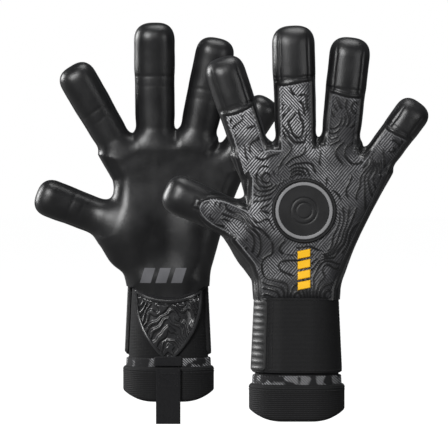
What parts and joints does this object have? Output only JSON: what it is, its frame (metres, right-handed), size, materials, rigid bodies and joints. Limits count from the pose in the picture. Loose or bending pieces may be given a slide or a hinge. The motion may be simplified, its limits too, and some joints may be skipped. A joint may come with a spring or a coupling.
{
  "type": "goalkeeper gloves",
  "caption": "Pair of padded goalkeeper gloves with bending fingers, embossed backs, smooth latex palms and wrist straps that peel open.",
  "frame": {"origin": "centre of the right glove's cuff mouth", "axes": "+Z from the cuff to the fingertips, thumbs to -X; the right glove's back faces -Y and the left glove, behind it at +Y, shows its palm to -Y"},
  "size_m": [0.2852, 0.2486, 0.2951],
  "materials": {
    "latex_foam": "smooth soft latex foam, broad sheen",
    "back_textile": "embossed textile, raised rubber strokes",
    "liner_knit": "knit",
    "bandage_knit": "matte elastic knit",
    "cuff_knit": "ribbed elastic with a speckled band",
    "gloss_rubber": "glossy embossed rubber",
    "hook_and_loop": "fuzzy",
    "strap_fabric": "matte stretch fabric",
    "soft_rubber": "ribbed matte rubber",
    "badge_rubber": "matte moulded rubber",
    "yellow_rubber": "satin moulded rubber",
    "webbing": "woven webbing"
  },
  "bodies": {
    "gloves": {"right_palm_latex": "latex_foam", "right_back_panel": "back_textile", "right_gussets": "latex_foam", "right_inner_liner": "liner_knit", "right_wrist_bandage": "bandage_knit", "right_cuff_hem": "cuff_knit", "right_heel_insert": "gloss_rubber", "right_heel_piping": "latex_foam", "right_loop_patch": "hook_and_loop", "right_medallion": "badge_rubber", "right_accent_bars": "yellow_rubber", "left_palm_latex": "latex_foam", "left_back_panel": "back_textile", "left_gussets": "latex_foam", "left_inner_liner": "liner_knit", "left_wrist_bandage": "bandage_knit", "left_cuff_hem": "cuff_knit", "left_heel_insert": "gloss_rubber", "left_heel_piping": "latex_foam", "left_loop_patch": "hook_and_loop", "left_medallion": "badge_rubber", "left_accent_bars": "yellow_rubber"},
    "right_thumb": {"right_thumb_latex": "latex_foam", "right_thumb_back": "back_textile"},
    "right_thumb_tip": {"right_thumb_cap": "latex_foam"},
    "right_index": {"right_index_latex": "latex_foam", "right_index_back": "back_textile"},
    "right_index_tip": {"right_index_cap": "latex_foam"},
    "right_middle": {"right_middle_latex": "latex_foam", "right_middle_back": "back_textile"},
    "right_middle_tip": {"right_middle_cap": "latex_foam"},
    "right_ring": {"right_ring_latex": "latex_foam", "right_ring_back": "back_textile"},
    "right_ring_tip": {"right_ring_cap": "latex_foam"},
    "right_little": {"right_little_latex": "latex_foam", "right_little_back": "back_textile"},
    "right_little_tip": {"right_little_cap": "latex_foam"},
    "right_strap_flap": {"right_strap": "strap_fabric", "right_strap_tab": "soft_rubber", "right_hook_patch": "hook_and_loop"},
    "right_pull": {"right_pull_tab": "webbing"},
    "left_thumb": {"left_thumb_latex": "latex_foam", "left_thumb_back": "back_textile"},
    "left_thumb_tip": {"left_thumb_cap": "latex_foam"},
    "left_index": {"left_index_latex": "latex_foam", "left_index_back": "back_textile"},
    "left_index_tip": {"left_index_cap": "latex_foam"},
    "left_middle": {"left_middle_latex": "latex_foam", "left_middle_back": "back_textile"},
    "left_middle_tip": {"left_middle_cap": "latex_foam"},
    "left_ring": {"left_ring_latex": "latex_foam", "left_ring_back": "back_textile"},
    "left_ring_tip": {"left_ring_cap": "latex_foam"},
    "left_little": {"left_little_latex": "latex_foam", "left_little_back": "back_textile"},
    "left_little_tip": {"left_little_cap": "latex_foam"},
    "left_strap_flap": {"left_strap": "strap_fabric", "left_strap_tab": "soft_rubber", "left_hook_patch": "hook_and_loop"},
    "left_pull": {"left_pull_tab": "webbing"}
  },
  "joints": [
    {"name": "right_thumb_knuckle", "type": "hinge", "parent": "gloves", "child": "right_thumb", "pos_m": [-0.04127, 0.013, 0.13912], "axis": [-0.4067, 0, -0.9135], "range_deg": [0, 50], "stiffness_Nm_per_rad": 0.12},
    {"name": "right_thumb_bend", "type": "hinge", "parent": "right_thumb", "child": "right_thumb_tip", "pos_m": [-0.06685, 0.013, 0.15051], "axis": [-0.4067, 0, -0.9135], "range_deg": [0, 35.5], "stiffness_Nm_per_rad": 0.12},
    {"name": "right_index_knuckle", "type": "hinge", "parent": "gloves", "child": "right_index", "pos_m": [-0.03227, 0.013, 0.18929], "axis": [-0.9511, 0, -0.309], "range_deg": [0, 60], "stiffness_Nm_per_rad": 0.12},
    {"name": "right_index_bend", "type": "hinge", "parent": "right_index", "child": "right_index_tip", "pos_m": [-0.04123, 0.013, 0.21687], "axis": [-0.9511, 0, -0.309], "range_deg": [0, 42.5], "stiffness_Nm_per_rad": 0.12},
    {"name": "right_middle_knuckle", "type": "hinge", "parent": "gloves", "child": "right_middle", "pos_m": [-0.00061, 0.013, 0.1933], "axis": [-0.9997, 0, -0.0262], "range_deg": [0, 60], "stiffness_Nm_per_rad": 0.12},
    {"name": "right_middle_bend", "type": "hinge", "parent": "right_middle", "child": "right_middle_tip", "pos_m": [-0.00173, 0.013, 0.23628], "axis": [-0.9997, 0, -0.0262], "range_deg": [0, 42.5], "stiffness_Nm_per_rad": 0.12},
    {"name": "right_ring_knuckle", "type": "hinge", "parent": "gloves", "child": "right_ring", "pos_m": [0.03019, 0.013, 0.1943], "axis": [-0.9942, 0, 0.108], "range_deg": [0, 60], "stiffness_Nm_per_rad": 0.12},
    {"name": "right_ring_bend", "type": "hinge", "parent": "right_ring", "child": "right_ring_tip", "pos_m": [0.03387, 0.013, 0.2281], "axis": [-0.9942, 0, 0.108], "range_deg": [0, 42.5], "stiffness_Nm_per_rad": 0.12},
    {"name": "right_little_knuckle", "type": "hinge", "parent": "gloves", "child": "right_little", "pos_m": [0.05541, 0.013, 0.18024], "axis": [-0.809, 0, 0.5878], "range_deg": [0, 60], "stiffness_Nm_per_rad": 0.12},
    {"name": "right_little_bend", "type": "hinge", "parent": "right_little", "child": "right_little_tip", "pos_m": [0.07011, 0.013, 0.20047], "axis": [-0.809, 0, 0.5878], "range_deg": [0, 42.5], "stiffness_Nm_per_rad": 0.12},
    {"name": "right_strap_peel", "type": "hinge", "parent": "gloves", "child": "right_strap_flap", "pos_m": [0.0338, 0, 0.06025], "axis": [0, 0, 1], "range_deg": [0, 110]},
    {"name": "right_pull_swing", "type": "hinge", "parent": "gloves", "child": "right_pull", "pos_m": [0, 0.0246, 0.025], "axis": [1, 0, 0], "range_deg": [-60, 35], "stiffness_Nm_per_rad": 0.02},
    {"name": "left_thumb_knuckle", "type": "hinge", "parent": "gloves", "child": "left_thumb", "pos_m": [-0.13728, 0.187, 0.13311], "axis": [0.3584, 0, 0.9336], "range_deg": [0, 50], "stiffness_Nm_per_rad": 0.12},
    {"name": "left_thumb_bend", "type": "hinge", "parent": "left_thumb", "child": "left_thumb_tip", "pos_m": [-0.16342, 0.187, 0.14314], "axis": [0.3584, 0, 0.9336], "range_deg": [0, 35.5], "stiffness_Nm_per_rad": 0.12},
    {"name": "left_index_knuckle", "type": "hinge", "parent": "gloves", "child": "left_index", "pos_m": [-0.13036, 0.187, 0.18826], "axis": [0.866, 0, 0.5], "range_deg": [0, 60], "stiffness_Nm_per_rad": 0.12},
    {"name": "left_index_bend", "type": "hinge", "parent": "left_index", "child": "left_index_tip", "pos_m": [-0.14486, 0.187, 0.21338], "axis": [0.866, 0, 0.5], "range_deg": [0, 42.5], "stiffness_Nm_per_rad": 0.12},
    {"name": "left_middle_knuckle", "type": "hinge", "parent": "gloves", "child": "left_middle", "pos_m": [-0.1018, 0.187, 0.1963], "axis": [1, 0, 0.0087], "range_deg": [0, 60], "stiffness_Nm_per_rad": 0.12},
    {"name": "left_middle_bend", "type": "hinge", "parent": "left_middle", "child": "left_middle_tip", "pos_m": [-0.10218, 0.187, 0.2393], "axis": [1, 0, 0.0087], "range_deg": [0, 42.5], "stiffness_Nm_per_rad": 0.12},
    {"name": "left_ring_knuckle", "type": "hinge", "parent": "gloves", "child": "left_ring", "pos_m": [-0.0708, 0.187, 0.19529], "axis": [0.9781, 0, -0.2079], "range_deg": [0, 60], "stiffness_Nm_per_rad": 0.12},
    {"name": "left_ring_bend", "type": "hinge", "parent": "left_ring", "child": "left_ring_tip", "pos_m": [-0.06373, 0.187, 0.22855], "axis": [0.9781, 0, -0.2079], "range_deg": [0, 42.5], "stiffness_Nm_per_rad": 0.12},
    {"name": "left_little_knuckle", "type": "hinge", "parent": "gloves", "child": "left_little", "pos_m": [-0.04549, 0.187, 0.17925], "axis": [0.8387, 0, -0.5446], "range_deg": [0, 60], "stiffness_Nm_per_rad": 0.12},
    {"name": "left_little_bend", "type": "hinge", "parent": "left_little", "child": "left_little_tip", "pos_m": [-0.03187, 0.187, 0.20022], "axis": [0.8387, 0, -0.5446], "range_deg": [0, 42.5], "stiffness_Nm_per_rad": 0.12},
    {"name": "left_strap_peel", "type": "hinge", "parent": "gloves", "child": "left_strap_flap", "pos_m": [-0.0582, 0.2, 0.06025], "axis": [0, 0, -1], "range_deg": [0, 110]},
    {"name": "left_pull_swing", "type": "hinge", "parent": "gloves", "child": "left_pull", "pos_m": [-0.092, 0.1754, 0.025], "axis": [-1, 0, 0], "range_deg": [0, 95], "stiffness_Nm_per_rad": 0.02}
  ],
  "couplings": [
    {"joint": "right_thumb_bend", "follows": "right_thumb_knuckle", "ratio": 0.7},
    {"joint": "right_index_bend", "follows": "right_index_knuckle", "ratio": 0.7},
    {"joint": "right_middle_bend", "follows": "right_middle_knuckle", "ratio": 0.7},
    {"joint": "right_ring_bend", "follows": "right_ring_knuckle", "ratio": 0.7},
    {"joint": "right_little_bend", "follows": "right_little_knuckle", "ratio": 0.7},
    {"joint": "left_thumb_bend", "follows": "left_thumb_knuckle", "ratio": 0.7},
    {"joint": "left_index_bend", "follows": "left_index_knuckle", "ratio": 0.7},
    {"joint": "left_middle_bend", "follows": "left_middle_knuckle", "ratio": 0.7},
    {"joint": "left_ring_bend", "follows": "left_ring_knuckle", "ratio": 0.7},
    {"joint": "left_little_bend", "follows": "left_little_knuckle", "ratio": 0.7}
  ]
}
